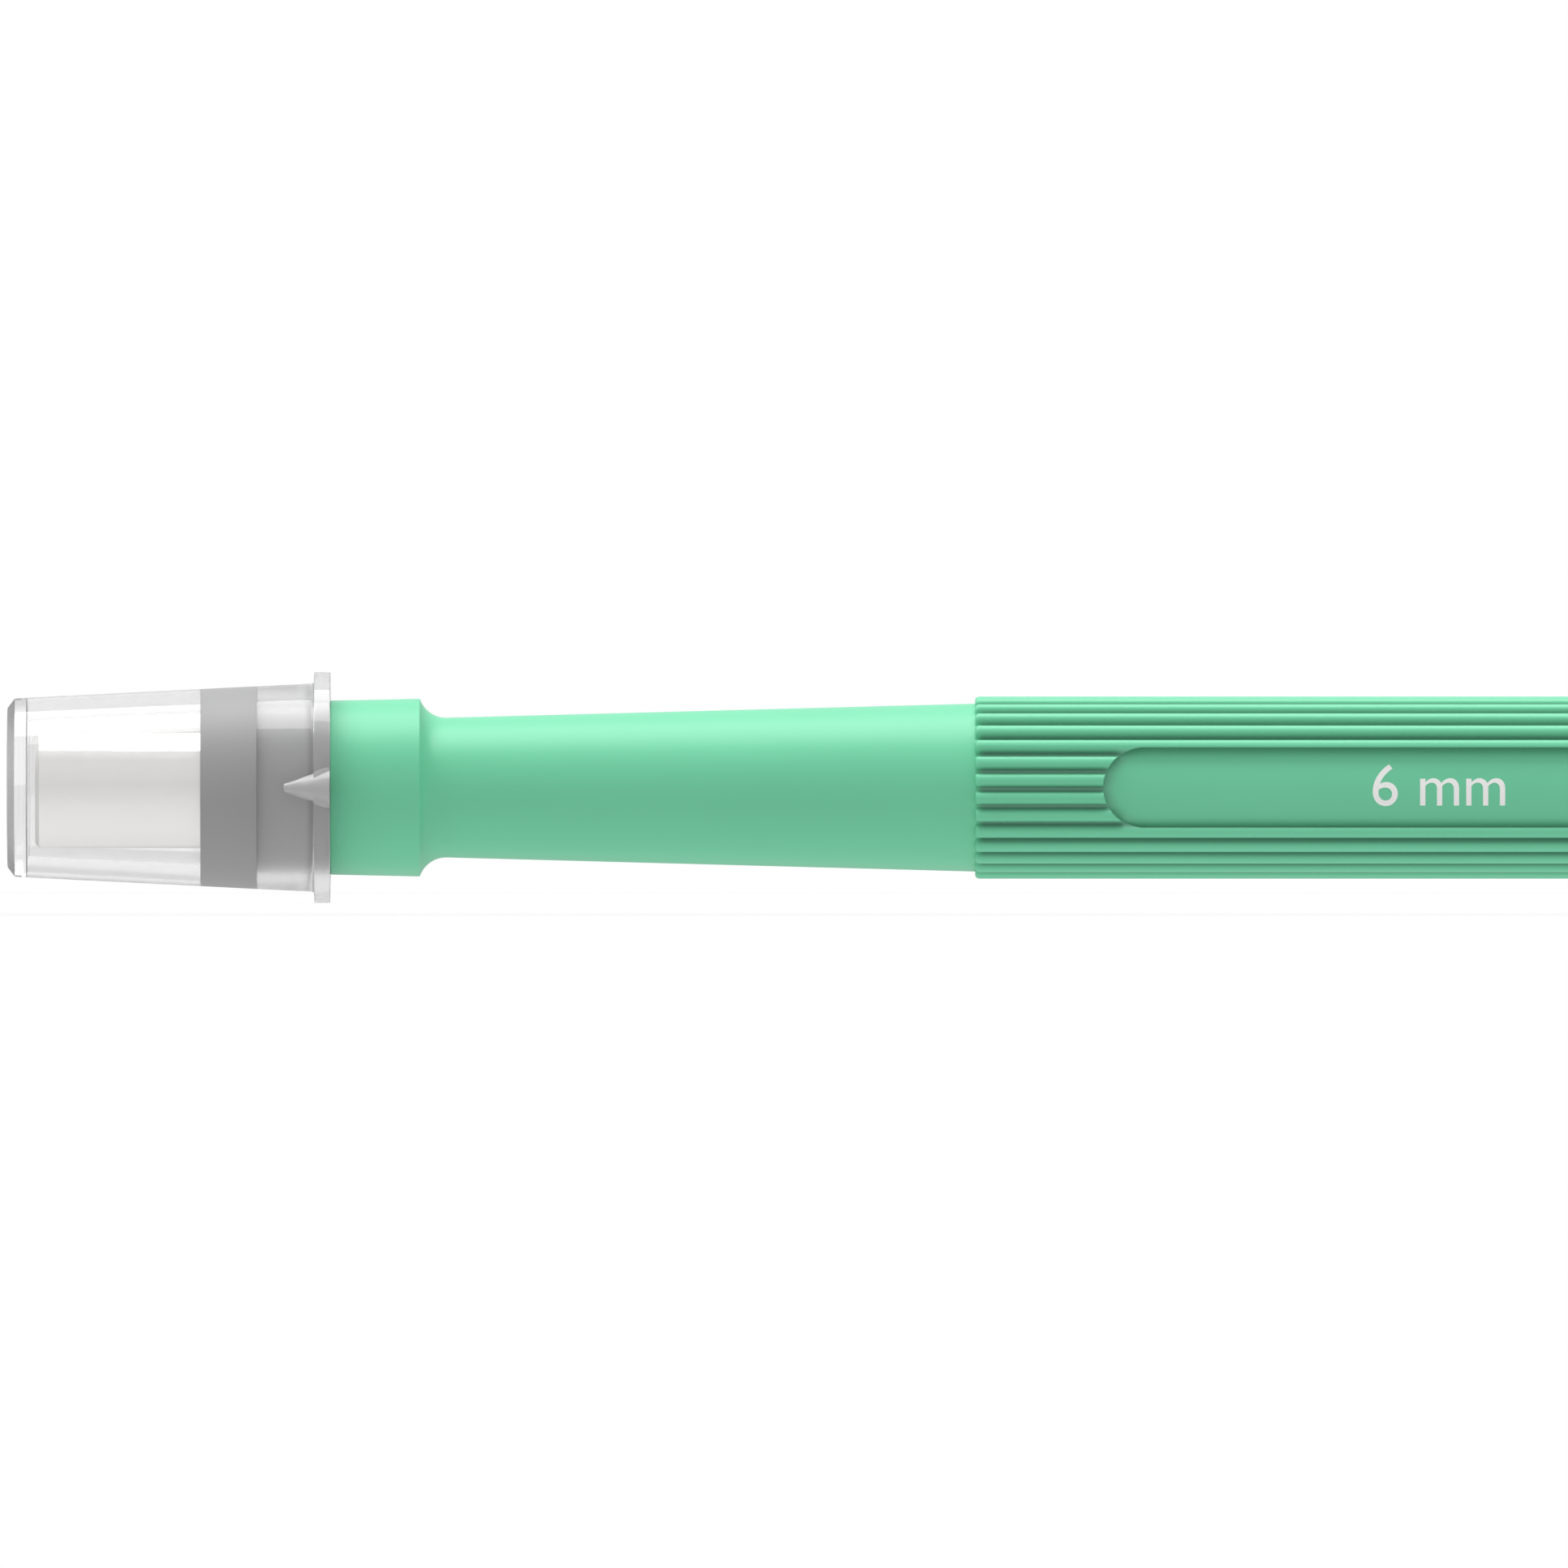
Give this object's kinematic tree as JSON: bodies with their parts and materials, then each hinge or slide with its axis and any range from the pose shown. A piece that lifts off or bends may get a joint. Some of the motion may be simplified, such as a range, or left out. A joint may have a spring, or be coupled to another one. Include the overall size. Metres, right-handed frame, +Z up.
{
  "type": "biopsy punch",
  "caption": "disposable skin biopsy punch: green ribbed handle, grey nose holding a round steel cutting tube, under a clear slide-off cap with a grey band",
  "frame": {"origin": "centre of the flat rear end of the handle", "axes": "X runs along the punch with the cap and the cutting edge towards -X, +Z up, the two label panels face -Y and +Y"},
  "size_m": [0.1, 0.013, 0.0122],
  "materials": {
    "green_plastic": "moulded satin plastic, mint green",
    "grey_plastic": "moulded satin plastic, mid grey",
    "steel": "ground and polished stainless steel",
    "clear_plastic": "clear moulded plastic, polished",
    "band_plastic": "smooth grey plastic ring",
    "white_ink": "thin white printing ink"
  },
  "bodies": {
    "punch": {"handle_body": "green_plastic", "end_plug": "green_plastic", "blade_hub": "grey_plastic", "punch_blade": "steel"},
    "cap": {"protective_cap": "clear_plastic", "size_band": "band_plastic"}
  },
  "joints": [
    {"name": "cap_pull", "type": "slide", "parent": "punch", "child": "cap", "axis": [-1, 0, 0], "range_m": [0, 0.02]}
  ]
}
